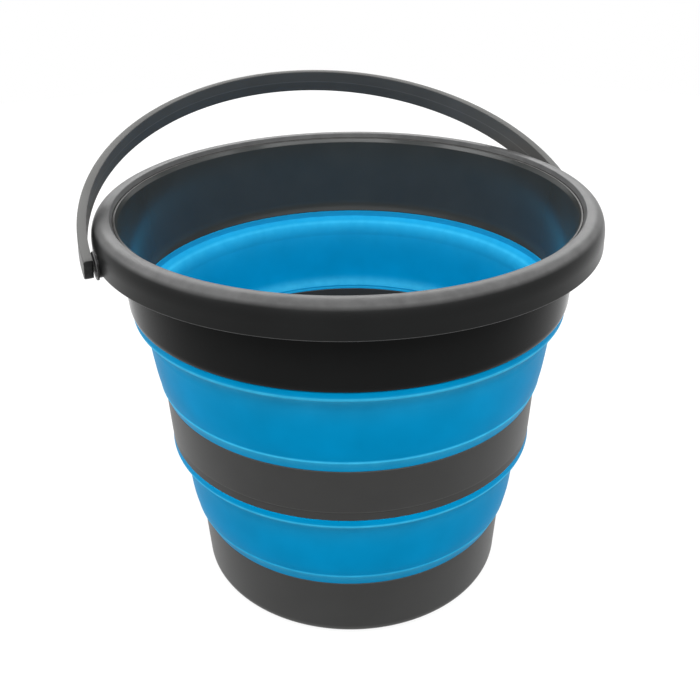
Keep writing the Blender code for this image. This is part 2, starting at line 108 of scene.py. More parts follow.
def rounded_outline(rows, steps=6):
    """A closed outline, drawn anticlockwise, with each corner made an arc.

    An arc starts back from its corner by rounding times the tangent of half the turn. Its
    centre lies square to the arriving edge, and its points are the start turned about that
    centre by equal shares of the turn. A support point stands just off each end of an arc, so
    that the flats beside it stay flat when they are shaded smooth. The second result is 1 on
    the arcs that stand out, which hands wear paler and which also carry a painted edge
    highlight, and 0 elsewhere.
    """
    rows = np.asarray(rows, dtype=float) * MM
    corner = rows[:, 0] + 1j * rows[:, 1]
    rounding = rows[:, 2]
    edge = np.roll(corner, -1) - corner
    length = np.abs(edge)
    leaving = edge / length
    arriving = np.roll(leaving, 1)
    turn = np.angle(leaving / arriving)
    back = rounding * np.tan(np.abs(turn) / 2.0)
    free = np.maximum(length - back - np.roll(back, -1), 0.0)
    after = np.minimum(rounding, free) * SUPPORT_SHARE
    before = np.minimum(rounding, np.roll(free, 1)) * SUPPORT_SHARE
    start = corner - arriving * back
    centre = start + arriving * 1j * np.sign(turn) * rounding
    share = np.linspace(0.0, 1.0, steps + 1)
    arc = centre[:, None] + (start - centre)[:, None] * np.exp(1j * turn[:, None] * share)
    ends = (corner - arriving * (back + before), corner + leaving * (back + after))
    points = np.column_stack([ends[0], arc, ends[1]])
    rub_and_painted_light = np.zeros(points.shape)
    # Arcs that stand out carry wear and a painted edge highlight.
    rub_and_painted_light[:, 1:-1] = ((turn > LEAST_WORN_AND_HIGHLIT_TURN) & (rounding > 0.0))[:, None]
    points, rub_and_painted_light = points.ravel(), rub_and_painted_light.ravel()
    keep = np.abs(points - np.roll(points, 1)) > SAME_PLACE
    return np.column_stack([points[keep].real, points[keep].imag]), rub_and_painted_light[keep]


square = [(1.0, 1.0, 0.2), (2.0, 1.0, 0.2), (2.0, 2.0, 0.2), (1.0, 2.0, 0.2)]
print("points round a square with rounded corners:", len(rounded_outline(square)[0]))

# %% [markdown]
# ## From an outline to a mesh
# The grid of a turned piece has one row for each point of the outline and one column for each
# step round. Rolling the index grid by one row or one column gives each face its neighbours, and
# closes the seam by itself. Points on the axis fall together and are merged, which closes the
# poles. The pieces along the pivots are the same shape laid along X.

# %% Make a mesh, and turn an outline into one
RING_STEPS = 224
SMALL_STEPS = 72
SHARP_ANGLE = math.radians(40.0)
PIVOT_HEIGHT = 0.252
SLOTS = {}


def make_piece(name, points, quads, rub_and_painted_light, triangles=()):
    """A mesh object at the origin from arrays of points and faces, with its rub values.

    The signed volume is the sum of the pyramids from the origin to each half of each quad. If
    it comes out negative, the faces look inwards and are all turned round.
    """
    halves = points[np.vstack([quads[:, [0, 1, 2]], quads[:, [0, 2, 3]]])]
    pyramids = np.einsum("ij,ij->i", halves[:, 0], np.cross(halves[:, 1], halves[:, 2]))
    step = -1 if pyramids.sum() < 0.0 else 1
    faces = [face[::step] for face in quads.tolist() + np.asarray(triangles, dtype=int).tolist()]
    mesh = bpy.data.meshes.new(name)
    mesh.from_pydata(points.tolist(), [], faces)
    # This attribute holds edge wear, painted highlights and painted light.
    mesh.attributes.new("rub_and_painted_light", "FLOAT", "POINT").data.foreach_set("value", rub_and_painted_light.astype(np.float32))
    piece = bpy.data.objects.new(name, mesh)
    bpy.context.scene.collection.objects.link(piece)
    shade(piece)
    return piece


def shade(piece):
    """Merge points that fell together, then shade smooth apart from real corners."""
    shape = bmesh.new()
    shape.from_mesh(piece.data)
    bmesh.ops.remove_doubles(shape, verts=shape.verts, dist=SAME_PLACE)
    shape.to_mesh(piece.data)
    shape.free()
    piece.data.shade_smooth()
    piece.data.set_sharp_from_angle(angle=SHARP_ANGLE)


def grid_faces(rows, columns):
    """Quads of a grid that closes on itself both ways."""
    here = np.arange(rows * columns).reshape(rows, columns)
    up = np.roll(here, -1, axis=0)
    quads = np.stack([here, np.roll(here, -1, axis=1), np.roll(up, -1, axis=1), up], axis=-1)
    return quads.reshape(-1, 4)


def turned(name, rows, body, slot, stands_for, side=0):
    """Carry an outline round Z, or round the pivots' axis on the side given as 1 or -1.

    A point of the outline at radius r and height h goes to (r cos a, r sin a, h). Laid along
    the pivots it goes to (side h, side r cos a, pivot height + r sin a).
    """
    outline, rub_and_painted_light = rounded_outline(rows)
    columns = SMALL_STEPS if side else RING_STEPS
    angle = np.linspace(0.0, math.tau, columns, endpoint=False)
    across = outline[:, :1] * np.cos(angle)
    beyond = outline[:, :1] * np.sin(angle)
    height = np.repeat(outline[:, 1:], columns, axis=1)
    if side:
        points = np.stack([side * height, side * across, PIVOT_HEIGHT + beyond], axis=-1)
    else:
        points = np.stack([across, beyond, height], axis=-1)
    faces = grid_faces(len(outline), columns)
    piece = make_piece(name, points.reshape(-1, 3), faces, np.repeat(rub_and_painted_light, columns))
    seat(piece, body, slot, stands_for)
    return piece


def seat(piece, body, slot, stands_for):
    """Tie a piece to its body if that is a name, else only bake it in place; set its material slot and
    hide the solid that it stands for.
    """
    if isinstance(body, str):
        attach(piece, body)
    else:
        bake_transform(piece)
    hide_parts(stands_for)
    SLOTS[piece.name] = slot
    print(piece.name, len(piece.data.vertices), "points")


# %% [markdown]
# ## Where rubber meets plastic
# Four seams join the two rubber bands to the rigid rings. At each seam the ring ends in a thin
# tongue that the rubber is moulded round, which is how two unlike plastics are made to hold. The
# band's slot is the tongue with a small gap all round, so one helper shapes both kinds of end. A
# seam is given as a complex number, with its radius as the real part and its height as the
# imaginary part, and both are in millimetres.

# %% Name the seams and shape the end of a wall
WALL = 2.4
GAP = 0.3
TONGUE_LENGTH = 3.0
TONGUE = (0.8, 1.6)
SLOT = (TONGUE[0] - GAP, TONGUE[1] + GAP)
BASE_SEAM = 110.3 + 45.1j
MIDDLE_LOW_SEAM = 125.7 + 109.9j
MIDDLE_HIGH_SEAM = 127.1 + 146.7j
MOUTH_SEAM = 141.3 + 209.3j


def wall_end(seam, rise, cut, outer_rounding=0.4, inner_rounding=0.25, step_rounding=0.1):
    """Rows from a wall's outer corner in to its inner one, with a step between two depths.

    The depths are measured in from the outer face. A step that leaves the wall is a tongue, and
    a step that goes back into the wall is a slot.
    """
    depth = np.array([0.0, cut[0], cut[0], cut[1], cut[1], WALL])
    height = np.array([0.0, 0.0, rise, rise, 0.0, 0.0])
    rounding = [outer_rounding, 0.0, step_rounding, step_rounding, 0.0, inner_rounding]
    return np.column_stack([seam.real - depth, seam.imag + height, rounding])


print("tongue and slot, in from the outer face:", TONGUE, SLOT)

# %% [markdown]
# ## The base
# The base is a shallow tub of stiff polypropylene. Underneath, it stands on a flat foot ring
# round a shallow recess, so that it doesn't rock on a floor.

# %% Turn the base
FOOT_RADIUS = 108.0
FOOT_INNER_RADIUS = 91.8
RECESS_RADIUS = 90.6
RECESS_DEPTH = 1.6
FLOOR_THICKNESS = 4.2
turned("base_tub", np.vstack([
    [(0.0, RECESS_DEPTH, 0.0), (RECESS_RADIUS, RECESS_DEPTH, 0.3)],
    [(FOOT_INNER_RADIUS, 0.0, 0.4), (FOOT_RADIUS, 0.0, 4.2)],
    wall_end(BASE_SEAM, TONGUE_LENGTH, TONGUE),
    [(FOOT_RADIUS - WALL, FLOOR_THICKNESS, 1.8), (0.0, FLOOR_THICKNESS, 0.0)],
]), "base", "base_plastic", "base_cup")

# %% [markdown]
# ## The middle ring
# A plain slightly conical hoop. A fine step runs round it near the lower edge, where the mould
# shuts off against the ring before the rubber is shot in. It has a tongue at both edges. A row
# just above the step keeps the painted highlight along the step from spreading up the wall.

# %% Turn the middle ring
STEP_RADIUS = 125.51
STEP_HEIGHT = 115.5
STEP_SIZE = 0.4
ABOVE_STEP = (125.937, 116.6, 0.0)
middle = turned("middle_hoop", np.vstack([
    wall_end(MIDDLE_LOW_SEAM, -TONGUE_LENGTH, TONGUE)[::-1],
    [(STEP_RADIUS, STEP_HEIGHT, 0.12), (STEP_RADIUS + STEP_SIZE, STEP_HEIGHT + STEP_SIZE, 0.22)],
    [ABOVE_STEP],
    wall_end(MIDDLE_HIGH_SEAM, TONGUE_LENGTH, TONGUE),
]), "middle", "base_plastic", "mid_ring")

# %% [markdown]
# ## The ring of the mouth
# The tallest rigid ring forms the mouth. Its lower edge rolls in by a quarter ellipse to meet
# the band, and its top ends in a small rounded lip. A flange outside the lip carries the rim.

# %% Turn the ring of the mouth
ROLL_OUT = 1.8
ROLL_UP = 5.2
ROLL_TOP = MOUTH_SEAM.imag + ROLL_UP
WALL_FOOT_RADIUS = MOUTH_SEAM.real + ROLL_OUT - WALL
WALL_TOP_RADIUS = 143.7
WALL_TOP = 263.4
FLANGE_RADIUS = 152.0
FLANGE_LOW = 263.1
FLANGE_HIGH = 265.1
LIP_RADIUS = 146.2
LIP_INNER_RADIUS = 145.0
LIP_TOP = 266.4

roll = np.linspace(0.0, math.pi / 2.0, 15)[1:]
rolled_edge = np.column_stack([
    MOUTH_SEAM.real + ROLL_OUT * np.sin(roll),
    ROLL_TOP - ROLL_UP * np.cos(roll),
    np.zeros(roll.size),
])
mouth = turned("mouth_ring", np.vstack([
    wall_end(MOUTH_SEAM, -TONGUE_LENGTH, TONGUE, outer_rounding=0.0)[::-1],
    rolled_edge,
    [(WALL_TOP_RADIUS + WALL, FLANGE_LOW, 0.5), (FLANGE_RADIUS, FLANGE_LOW, 0.3)],
    [(FLANGE_RADIUS, FLANGE_HIGH, 0.3), (LIP_RADIUS, FLANGE_HIGH, 0.1)],
    [(LIP_RADIUS, LIP_TOP, 0.45), (LIP_INNER_RADIUS, LIP_TOP, 0.5)],
    [(WALL_TOP_RADIUS, WALL_TOP, 1.2), (WALL_FOOT_RADIUS, ROLL_TOP, 28.0)],
]), "rim", "ring_plastic", "upper_ring")

# %% [markdown]
# ## The rim
# The rim is a hollow roll with a deep skirt, clipped over the flange. Fingers go up under the
# skirt to lift the bucket. Its shoulder is a quarter of a superellipse, a curve between an
# ellipse and a box. The thin dark line beside the lip is a real gap between two mouldings.

# %% Turn the rim
RIM_RADIUS = 160.0
SKIRT_FOOT = 249.5
SHOULDER_RADIUS = 159.8
SHOULDER_FOOT = 256.1
SHOULDER_RISE = 13.4
CREST_RADIUS = 150.3
CREST_INNER_CORNER = (148.0, 269.15, 0.9)
RIM_EDGE_HEIGHT = 266.5
CLIP_REACH = 1.0
CLIP_TIP = 0.6
CLIP_HEIGHT = 2.0
CLIP_WALL = 1.5


def shoulder(wall, steps=40, power=2.3):
    """Points of the roll from skirt to crest, inside the outer line by a wall.

    Across it goes as the sine and up it goes as the cosine, both to the power two over the
    superellipse's own power.
    """
    turn = np.linspace(math.pi / 2.0, 0.0, steps)
    return np.column_stack([
        CREST_RADIUS + (SHOULDER_RADIUS - CREST_RADIUS - wall) * np.sin(turn) ** (2.0 / power),
        SHOULDER_FOOT + (SHOULDER_RISE - wall) * np.cos(turn) ** (2.0 / power),
        np.zeros(steps),
    ])


edge_radius = LIP_RADIUS + GAP
clip_radius = FLANGE_RADIUS + GAP
clip_top = FLANGE_LOW - GAP
clip_back = clip_radius + CLIP_WALL
inside_roll = shoulder(WALL)
inside_roll = inside_roll[inside_roll[:, 0] > clip_back + 0.1][::-1]
rim = turned("rolled_rim", np.vstack([
    [(RIM_RADIUS - WALL, SKIRT_FOOT, 0.25), (RIM_RADIUS, SKIRT_FOOT, 0.4)],
    shoulder(0.0),
    [CREST_INNER_CORNER, (edge_radius, RIM_EDGE_HEIGHT, 0.4)],
    [(edge_radius, FLANGE_HIGH + GAP, 0.0), (clip_radius, FLANGE_HIGH + GAP, 0.0)],
    [(clip_radius, clip_top, 0.0), (clip_radius - CLIP_REACH, clip_top, 0.1)],
    [(clip_radius - CLIP_REACH, clip_top - CLIP_TIP, 0.1), (clip_radius, clip_top - CLIP_HEIGHT, 0.1)],
    [(clip_back, clip_top - CLIP_HEIGHT, 0.2), (clip_back, inside_roll[0, 1], 0.3)],
    inside_roll,
]), "rim", "rim_plastic", "rim_cap")

# %% [markdown]
# ## Holes for the pivots
# The handle's pegs pass through the skirt, so it needs a real hole on each side, or the peg
# would cut through plastic when the handle swings. A Boolean is the honest tool here, because
# the hole is round along X and the rim is round about Z. The result is kept in the mesh and the
# drill is thrown away. A bored lug stands behind each hole and carries a flanged bush.

# %% Drill the rim and add lugs and bushes
LUG_INNER = 152.1
LUG_OUTER = 160.2
LUG_BORE = 4.9
LUG_RADIUS = 7.2
DRILL_RADIUS = 6.05
OVERRUN = 2.0
BUSH_BORE = 3.1
BUSH_BARREL = 4.6
BUSH_FLANGE = 8.5
BUSH_FLANGE_BACK = 160.5
BUSH_FACE = 161.8
GROOVE_RADIUS = 5.8
GROOVE_HALF_WIDTH = 0.4
GROOVE_SLOPE = 0.2
GROOVE_DEPTH = 0.15


def drill(piece, radius, side):
    """Cut a round hole along X through one side of a piece."""
    angle = np.linspace(0.0, math.tau, SMALL_STEPS, endpoint=False)
    ring = np.column_stack([np.cos(angle), np.sin(angle)]) * radius * MM
    ends = []
    for reach in (LUG_INNER - OVERRUN, LUG_OUTER + OVERRUN):
        place = np.full(SMALL_STEPS, side * reach * MM)
        ends.append(np.column_stack([place, ring[:, 0], PIVOT_HEIGHT + ring[:, 1]]))
    here = np.arange(SMALL_STEPS)
    there = np.roll(here, -1)
    sides = np.column_stack([here, there, there + SMALL_STEPS, here + SMALL_STEPS]).tolist()
    caps = [here[::-1].tolist(), (here + SMALL_STEPS).tolist()]
    mesh = bpy.data.meshes.new("drill")
    mesh.from_pydata(np.vstack(ends).tolist(), [], sides + caps)
    bit = bpy.data.objects.new("drill", mesh)
    bpy.context.scene.collection.objects.link(bit)
    cut = piece.modifiers.new("hole", "BOOLEAN")
    cut.operation = "DIFFERENCE"
    cut.solver = "EXACT"
    cut.object = bit
    bpy.context.view_layer.update()
    evaluated = piece.evaluated_get(bpy.context.evaluated_depsgraph_get())
    drilled = bpy.data.meshes.new_from_object(evaluated)
    piece.modifiers.clear()
    piece.data = drilled
    bpy.data.objects.remove(bit, do_unlink=True)


for side, label in ((-1, "left"), (1, "right")):
    drill(rim, DRILL_RADIUS, side)
    turned("rim_lug_" + label, [
        (LUG_BORE, LUG_INNER, 0.2),
        (LUG_RADIUS, LUG_INNER, 0.4),
        (LUG_RADIUS, LUG_OUTER, 0.1),
        (LUG_BORE, LUG_OUTER, 0.1),
    ], "rim", "rim_plastic", "rim_cap", side)
    turned("bush_" + label, [
        (BUSH_BORE, LUG_INNER, 0.2),
        (BUSH_BARREL, LUG_INNER, 0.3),
        (BUSH_BARREL, BUSH_FLANGE_BACK, 0.0),
        (BUSH_FLANGE, BUSH_FLANGE_BACK, 0.15),
        (BUSH_FLANGE, BUSH_FACE, 0.5),
        (GROOVE_RADIUS + GROOVE_HALF_WIDTH, BUSH_FACE, 0.1),
        (GROOVE_RADIUS + GROOVE_SLOPE, BUSH_FACE - GROOVE_DEPTH, 0.1),
        (GROOVE_RADIUS - GROOVE_SLOPE, BUSH_FACE - GROOVE_DEPTH, 0.1),
        (GROOVE_RADIUS - GROOVE_HALF_WIDTH, BUSH_FACE, 0.1),
        (BUSH_BORE, BUSH_FACE, 0.3),
    ], "rim", "rim_plastic", "pivot_bush_" + label, side)
shade(rim)
print("rim after drilling:", len(rim.data.vertices), "points")

# %% [markdown]
# ## The folding bands
# Each band is thermoplastic rubber. From the ring below, a short cone leads out to a crease, and
# from there the wall flares and stands nearly straight up to a throat. A round shoulder then
# turns out under the ring above. The thin wall rolls over between throat and crease when the
# bucket is pressed flat. Cubic curves give the form, and the inner wall is the outer one moved
# square to itself by the wall's thickness. A fine bead stands along the crease, and a fainter
# one along the shoulder.

# %% Shape a band's two walls
# Places and pulls are complex numbers in millimetres, and a bead is a height and two widths.
BULGE = 0.2 - 4.4j
THROAT_PULL = 12.5j
BULGE_PULL = 4.2j
TUCK_PULLS = (1.0j, 0.6j)
CREASE_BEAD = (0.45, 3.2, 0.75)
SHOULDER_BEAD = (0.05, 3.0, 1.2)
SHOULDER_DROP = 5.8
END_MARGIN = 0.4


def cubic(start, start_pull, end_pull, end, steps):
    """Points of a cubic curve: its four corners weighed by the shares of time left and gone."""
    t = np.linspace(0.0, 1.0, steps)[1:]
    s = 1.0 - t
    return s ** 3 * start + 3.0 * s * s * t * start_pull + 3.0 * s * t * t * end_pull + t ** 3 * end


def bead(distance, height, width_below, width_above):
    """A bell of a height, whose two sides fall away over widths of their own."""
    share = np.where(distance < 0.0, distance / width_below, distance / width_above)
    return height * np.exp(-share ** 2)


def band_rows(low, high, crease, throat, pulls):
    """A band's closed outline, with a slot in each end for a ring's tongue.

    From its low end the outer line is a straight cone to the crease, a cubic curve from there to
    the throat, a second one out to the bulge, and a short one in to the high end.
    """
    fold = low + crease
    neck = high + throat
    bulge = high + BULGE
    cone = (fold - low) / abs(fold - low)
    rise = (neck - fold) / abs(neck - fold)
    line = np.concatenate([
        low + (fold - low) * np.linspace(0.0, 1.0, 20),
        cubic(fold, fold + cone * pulls[0], neck - rise * pulls[1], neck, 72),
        cubic(neck, neck + THROAT_PULL, bulge - BULGE_PULL, bulge, 36),
        cubic(bulge, bulge + TUCK_PULLS[0], high - TUCK_PULLS[1], high, 8),
    ])
    run = np.gradient(line)
    out = -1j * run / np.abs(run)
    inner = line - out * WALL
    line = line + out * bead((line - fold).imag, *CREASE_BEAD)
    line = line + out * bead((line - high).imag + SHOULDER_DROP, *SHOULDER_BEAD)
    foot, head = low + GAP * 1j, high - GAP * 1j
    walls = []
    for wall in (line, inner[::-1]):
        within = (wall.imag > foot.imag + END_MARGIN) & (wall.imag < head.imag - END_MARGIN)
        walls.append(np.column_stack([wall.real, wall.imag, np.zeros(wall.size)])[within])
    return np.vstack([
        wall_end(foot, TONGUE_LENGTH, SLOT, inner_rounding=0.2)[::-1],
        walls[0],
        wall_end(head, -TONGUE_LENGTH, SLOT, inner_rounding=0.2),
        walls[1],
    ])


# %% [markdown]
# Each band is given the two bodies that it joins and the heights of its ends, but these are not
# read: the band is only baked in place, and tied to neither body.

# %% Turn both bands
LOWER_CREASE = 3.6 + 9.9j
LOWER_THROAT = -7.2 - 17.9j
LOWER_PULLS = (10.0, 12.0)
UPPER_CREASE = 2.3 + 8.1j
UPPER_THROAT = -7.0 - 18.3j
UPPER_PULLS = (9.5, 10.5)

lower = turned(
    "lower_fold",
    band_rows(BASE_SEAM, MIDDLE_LOW_SEAM, LOWER_CREASE, LOWER_THROAT, LOWER_PULLS),
    ("base", "middle", (0.0, 0.0, 0.0451), (0.0, 0.0, 0.1099)),
    "band_rubber",
    "lower_band",
)
upper = turned(
    "upper_fold",
    band_rows(MIDDLE_HIGH_SEAM, MOUTH_SEAM, UPPER_CREASE, UPPER_THROAT, UPPER_PULLS),
    ("middle", "rim", (0.0, 0.0, 0.1467), (0.0, 0.0, 0.2093)),
    "band_rubber",
    "upper_band",
)

# %% [markdown]
# ## Painted light on the folds, the rim and the step
# The bands' creases and shoulders get painted highlights, with painted light fading below them,
# the rim gets painted top light where it faces up, and the middle ring's step a painted
# highlight. These marks follow the shape, so they are worked out from each point's height and
# from the way that it faces, and are added to the values that the finishes read. Painting an
# image would do it too, but a formula stays sharp at any size.

# %% Add painted light to the attribute's values


def facing(piece):
    """Heights in millimetres, how far each point faces up, and how far it faces outwards."""
    count = len(piece.data.vertices)
    places, normals = np.empty(count * 3, np.float32), np.empty(count * 3, np.float32)
    piece.data.vertices.foreach_get("co", places)
    piece.data.vertices.foreach_get("normal", normals)
    places, normals = places.reshape(-1, 3), normals.reshape(-1, 3)
    level = places[:, :2] / np.maximum(np.hypot(places[:, 0], places[:, 1]), 1e-6)[:, None]
    return places[:, 2] / MM, normals[:, 2], (level * normals[:, :2]).sum(axis=1)


def line_at(height, centre, width):
    """A soft line: one at its own height, falling away as a bell on both sides."""
    return np.exp(-((height - centre) / width) ** 2)


def add_painted_light(piece, amount, keep=1.0):
    """Raise the share that is kept of a piece's rub values to an amount, point by point."""
    layer = piece.data.attributes["rub_and_painted_light"].data
    now = np.empty(len(layer), np.float32)
    layer.foreach_get("value", now)
    layer.foreach_set("value", np.maximum(now * keep, amount).astype(np.float32))
    print(piece.name, "points marked:", int((amount > 0.1).sum()))


# %% [markdown]
# Outside, a band gets a painted highlight along its crease and its shoulder, with softer painted
# light that fades away below each. Inside it gets painted highlights and painted light below its
# seam and behind its crease. Every mark is a share of the paler tone, at a drop below the seam
# above it or the crease, with a width or a length of fade.

# %% Mark the folds
CREASE_LINE_RISE = 0.1
SHOULDER_LINE_DROP = 5.6
SHADE_DROP = 5.0
SHADE_TOP_DROP = 4.0
INNER_LINE_DROP = 8.0
INNER_CREASE_DROP = 3.0


def fade_below(height, top, share, length):
    """A share that falls away below a height as the exponential of the drop over a length."""
    return share * np.exp((height - top) / length) * (height < top)


def paint_fold_light(band, crease, seam, strength):
    """Raise a band's rub values along its crease and below its upper seam, outside and inside."""
    height, up, outwards = facing(band)
    # Painted highlights along the crease and the shoulder, outside.
    crease_highlight = line_at(height, crease + CREASE_LINE_RISE, 0.8)
    shoulder_highlight = line_at(height, seam - SHOULDER_LINE_DROP, 1.3)
    # Painted light that lifts the shade under the shoulder, fading downwards.
    shade = 0.75 * np.exp((height - seam + SHADE_DROP) / 7.0) * (height < seam - SHADE_TOP_DROP)
    outside = np.maximum(strength * (crease_highlight + 0.9 * shoulder_highlight), shade)
    # Painted light on the cone below the crease.
    outside = np.maximum(outside, fade_below(height, crease, 0.55, 5.0))
    top = seam - INNER_LINE_DROP
    # Inside: painted highlights below the seam and behind the crease, and painted light from the seam
    # down.
    inside = 0.6 * line_at(height, top, 1.6) + 0.7 * line_at(height, crease - INNER_CREASE_DROP, 4.0)
    inside = np.maximum(inside, 0.25 * (height > top))
    inside = np.maximum(inside, fade_below(height, top, 0.45, 9.0))
    add_painted_light(band, np.where(outwards > 0.0, outside, inside), keep=0.0)


paint_fold_light(lower, (BASE_SEAM + LOWER_CREASE).imag, MIDDLE_LOW_SEAM.imag, 0.65)
paint_fold_light(upper, (MIDDLE_HIGH_SEAM + UPPER_CREASE).imag, MOUTH_SEAM.imag, 1.0)

# %% [markdown]
# The rim is painted paler where it faces up, as painted top light, and the middle ring's step
# gets a fine painted highlight.

# %% Mark the rim's top and the middle ring's step
PAINTED_TOP_LIGHT_FROM_OUTSIDE = 0.50
PAINTED_TOP_LIGHT_FROM_INSIDE = 0.30
PAINTED_TOP_LIGHT_SPREAD = 0.22
height, up, outwards = facing(rim)
start = np.where(outwards > 0.0, PAINTED_TOP_LIGHT_FROM_OUTSIDE, PAINTED_TOP_LIGHT_FROM_INSIDE)
# Painted top light: the rim's up-facing surfaces are painted paler.
add_painted_light(rim, np.clip((up - start) / PAINTED_TOP_LIGHT_SPREAD, 0.0, 1.0))

STEP_LINE_ABOVE = 0.45
STEP_LINE_WIDTH = 0.3
height, up, outwards = facing(middle)
step_highlight = line_at(height, STEP_HEIGHT + STEP_LINE_ABOVE, STEP_LINE_WIDTH)
# A painted highlight along the upper edge of the step.
add_painted_light(middle, step_highlight * (outwards > 0.0))

# %% [markdown]
# ## The handle
# A strap on half an ellipse, thickest at its ends and thin at the top, where the hand bends it.
# Each cross-section is a rounded bar with softer corners outside than inside. A faint ridge runs
# along the middle of its inner face, where the mould's core leaves one, and carries a painted
# highlight. The strap is drawn upright round its pivots, and leaned back as whole arrays at the end.

# %% Loft the strap
INNER_END = 162.65
OUTER_END = 168.3
RISE = 142.1
HALF_WIDTH = 8.35
TAIL = 3.6
TAIL_CORNER = 3.4
TIP_ROUNDING = 1.2
END_THICKNESS = OUTER_END - INNER_END
TOP_THICKNESS = 3.0
OUTER_CORNER = 1.25
INNER_CORNER = 0.55
CORNER_POINTS = 7
RIDGE = 0.3
OUTER_SHARES = np.array([-0.93, -0.4, 0.4, 0.93])
INNER_SHARES = np.array([0.93, 0.5, 0.06, 0.0, -0.06, -0.5, -0.93])
EDGE_WEAR_AND_HIGHLIGHT = 0.15
LEAN = math.radians(62.8)


def strap_lines(arch_steps=176):
    """Outer line, inward direction, thickness, half width and end rounding, station by station.

    The arch's outer line is half an ellipse, and its thickness grows with the cosine of the
    angle to the power 2.2. A tail goes straight down from each end. Its width narrows by a
    quarter circle, and its last part shrinks on all sides by another, which rounds the tip.
    """
    tip = np.linspace(math.pi / 2.0, 0.0, 7)
    drop = np.concatenate([
        -TAIL + TIP_ROUNDING * (1.0 - np.sin(tip)),
        np.linspace(-TAIL + TIP_ROUNDING, -TAIL + TAIL_CORNER, 10)[1:],
        np.linspace(-TAIL + TAIL_CORNER, 0.0, 5)[1:-1],
    ])
    inset = np.zeros(drop.size)
    inset[:tip.size] = TIP_ROUNDING * (1.0 - np.cos(tip))
    gone = np.clip((TAIL_CORNER - drop - TAIL) / TAIL_CORNER, 0.0, 1.0)
    half = HALF_WIDTH - TAIL_CORNER * (1.0 - np.sqrt(1.0 - gone * gone))
    angle = np.linspace(math.pi, 0.0, arch_steps)
    side, up = np.cos(angle), np.sin(angle)
    reach = 1.0 / np.hypot(side / OUTER_END, up / RISE)
    thick = TOP_THICKNESS + (END_THICKNESS - TOP_THICKNESS) * np.abs(side) ** 2.2
    ends = np.full(drop.size, OUTER_END)
    flat = np.full(drop.size, END_THICKNESS)
    outer = np.concatenate([-ends + 1j * drop, reach * (side + 1j * up), (ends + 1j * drop)[::-1]])
    inward = np.concatenate([np.ones(drop.size), -(side + 1j * up), -np.ones(drop.size)])
    return (
        outer,
        inward,
        np.concatenate([flat, thick, flat]),
        np.concatenate([half, np.full(arch_steps, HALF_WIDTH), half[::-1]]),
        np.concatenate([inset, np.zeros(arch_steps), inset[::-1]]),
    )


def bar_section(thick, half, inset):
    """The rounded bar's points: depth from the outer face, and place across, for each station.

    Each corner is an arc about a centre set in from both faces by its radius. The inner face
    rises towards its middle line by a crown that fades out where the strap is thick.
    """
    radius = np.array([OUTER_CORNER, OUTER_CORNER, INNER_CORNER, INNER_CORNER])[:, None]
    inner_corner = np.array([False, False, True, True])[:, None]
    at_side = np.array([-1, 1, 1, -1])[:, None]
    first = np.array([-90.0, -180.0, -270.0, -360.0])[:, None]
    turn = np.radians(first - np.linspace(0.0, 90.0, CORNER_POINTS))
    room = thick - 2.0 * inset
    width = half - inset
    depth = np.where(inner_corner, room[:, None, None] - radius, radius) + radius * np.cos(turn)
    place = at_side * (width[:, None, None] - radius) + radius * np.sin(turn)
    outer_place = OUTER_SHARES * (width[:, None] - OUTER_CORNER)
    thinned = np.clip((END_THICKNESS - thick) / (END_THICKNESS - TOP_THICKNESS), 0.0, 1.0)
    crown = RIDGE * thinned[:, None] * (1.0 - np.abs(INNER_SHARES))
    inner_place = INNER_SHARES * (width[:, None] - INNER_CORNER)
    depths = [depth[:, 0], np.zeros_like(outer_place), depth[:, 1]]
    depths += [depth[:, 2], room[:, None] + crown, depth[:, 3]]
    places = [place[:, 0], outer_place, place[:, 1], place[:, 2], inner_place, place[:, 3]]
    return np.hstack(depths), np.hstack(places)


def lean_back(points):
    """Turn points about X through the pivots by the handle's lean, and lift them to the pivots."""
    across, up = points[:, 1], points[:, 2]
    return np.column_stack([
        points[:, 0],
        across * math.cos(LEAN) + up * math.sin(LEAN),
        PIVOT_HEIGHT - across * math.sin(LEAN) + up * math.cos(LEAN),
    ])


def strap():
    """Each station's section set square to the outer line, with a fan over both tips."""
    outer, inward, thick, half, inset = strap_lines()
    depth, place = bar_section(thick, half, inset)
    line = outer[:, None] + inward[:, None] * (depth + inset[:, None])
    points = np.stack([line.real, place, line.imag], axis=-1)
    tips = points[[0, -1]].mean(axis=1)
    stations, around = depth.shape
    here = np.arange(stations * around).reshape(stations, around)
    after = np.roll(here, -1, axis=1)
    quads = np.stack([here[:-1], after[:-1], after[1:], here[1:]], axis=-1).reshape(-1, 4)
    first, last = np.full(around, here.size), np.full(around, here.size + 1)
    fans = np.vstack([
        np.column_stack([after[0], here[0], first]),
        np.column_stack([here[-1], after[-1], last]),
    ])
    second_corner = CORNER_POINTS + OUTER_SHARES.size
    ridge = second_corner + 2 * CORNER_POINTS + INNER_SHARES.size // 2
    rub_and_painted_light = np.zeros((stations, around))
    # The outer corners get edge wear and a painted edge highlight.
    rub_and_painted_light[:, :CORNER_POINTS] = EDGE_WEAR_AND_HIGHLIGHT
    rub_and_painted_light[:, second_corner:second_corner + CORNER_POINTS] = EDGE_WEAR_AND_HIGHLIGHT
    # The ridge gets a painted highlight.
    rub_and_painted_light[:, ridge] = 1.0
    rub_and_painted_light = np.append(rub_and_painted_light.ravel(), [0.0, 0.0])
    points = lean_back(np.vstack([points.reshape(-1, 3), tips]) * MM)
    handle = make_piece("strap_handle", points, quads, rub_and_painted_light, fans)
    seat(handle, "handle", "handle_plastic", "bail_handle")
    return handle


handle = strap()

# %% [markdown]
# ## Snap pegs
# Each end of the strap has a peg that turns in its bush. A barb behind the lug keeps it in. The
# peg is turned like the rings, and its root is buried in the strap, as one moulding would be.

